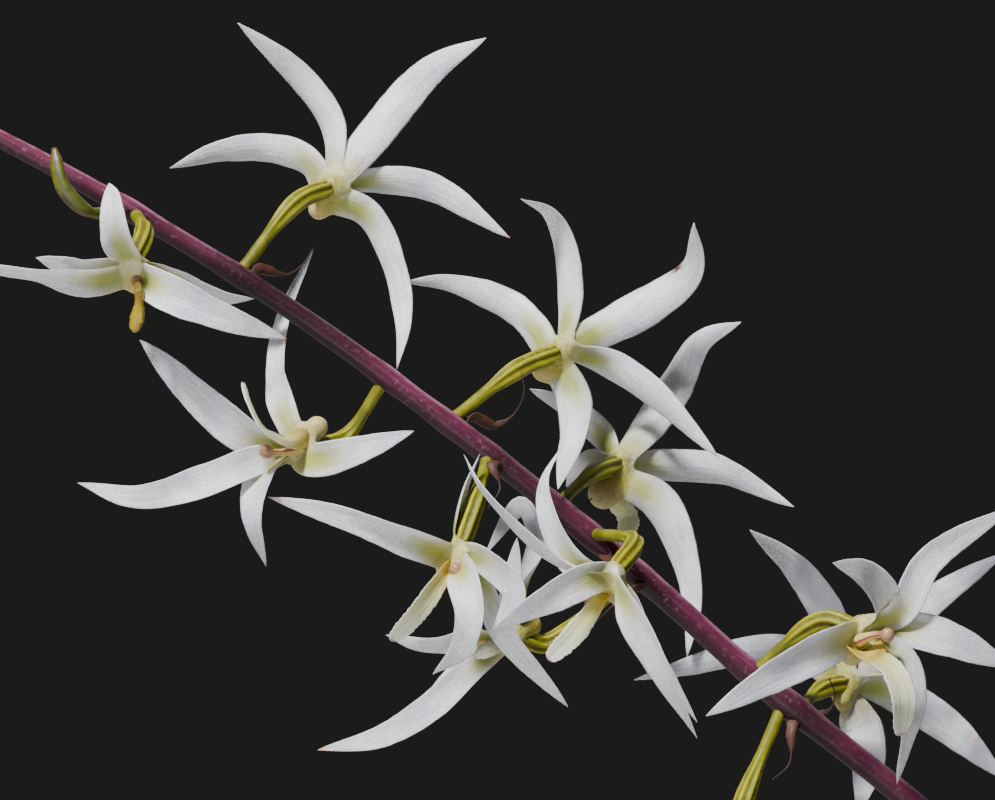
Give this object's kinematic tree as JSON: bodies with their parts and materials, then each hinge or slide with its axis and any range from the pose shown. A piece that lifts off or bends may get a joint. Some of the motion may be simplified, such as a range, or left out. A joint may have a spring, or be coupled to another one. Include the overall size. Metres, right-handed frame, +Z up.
{
  "type": "potted orchid",
  "caption": "Orchid in a round clay pot of bark: ribbed bulbs with strap leaves, and one arching spike of white star-shaped blooms on yellow-green stalks, with buds at its tip.",
  "frame": {"origin": "centre of the pot's flat underside", "axes": "+Z up; the flower spike arches towards -X, and the picture looks along +Y"},
  "size_m": [0.4013, 0.3688, 0.4766],
  "materials": {
    "clay": "unglazed fired clay, matt, slightly rough",
    "bark": "rough fir bark chips, matt",
    "rhizome": "dry, ringed, with papery scales",
    "bulb": "green, ribbed, satin, with dry papery sheaths",
    "leaf": "leathery mid-green, satin, with fine long veins",
    "stem": "purple, satin, finely scurfy; red-brown papery bracts",
    "stalk": "yellow-green, ribbed towards the bloom, satin",
    "bloom": "white, soft and slightly glistening, yellow-green at the heart",
    "bud": "green, satin, paler towards opening"
  },
  "bodies": {
    "root": {"pot": "clay", "potting_bark": "bark", "rhizome": "rhizome", "pseudobulb_1": "bulb", "pseudobulb_2": "bulb", "leaf_2a": "leaf", "leaf_2b": "leaf", "pseudobulb_3": "bulb", "leaf_3a": "leaf", "leaf_3b": "leaf", "pseudobulb_4": "bulb", "leaf_4a": "leaf", "leaf_4b": "leaf", "pseudobulb_5": "bulb", "leaf_5a": "leaf", "leaf_5b": "leaf", "flower_stem": "stem", "bloom_01": "bloom", "bloom_02": "bloom", "bloom_03": "bloom", "bloom_04": "bloom", "bloom_05": "bloom", "bloom_06": "bloom", "bloom_07": "bloom", "bloom_08": "bloom", "bloom_09": "bloom", "bloom_10": "bloom", "bloom_11": "bloom", "bloom_12": "bloom", "bloom_13": "bloom", "bloom_14": "bloom", "bloom_15": "bloom", "stalk_01": "stalk", "stalk_02": "stalk", "stalk_03": "stalk", "stalk_04": "stalk", "stalk_05": "stalk", "stalk_06": "stalk", "stalk_07": "stalk", "stalk_08": "stalk", "stalk_09": "stalk", "stalk_10": "stalk", "stalk_11": "stalk", "stalk_12": "stalk", "stalk_13": "stalk", "stalk_14": "stalk", "stalk_15": "stalk", "bud_1": "bud", "bud_2": "bud", "bud_3": "bud", "bud_4": "bud", "bud_5": "bud", "bud_6": "bud", "bud_7": "bud"}
  },
  "joints": []
}
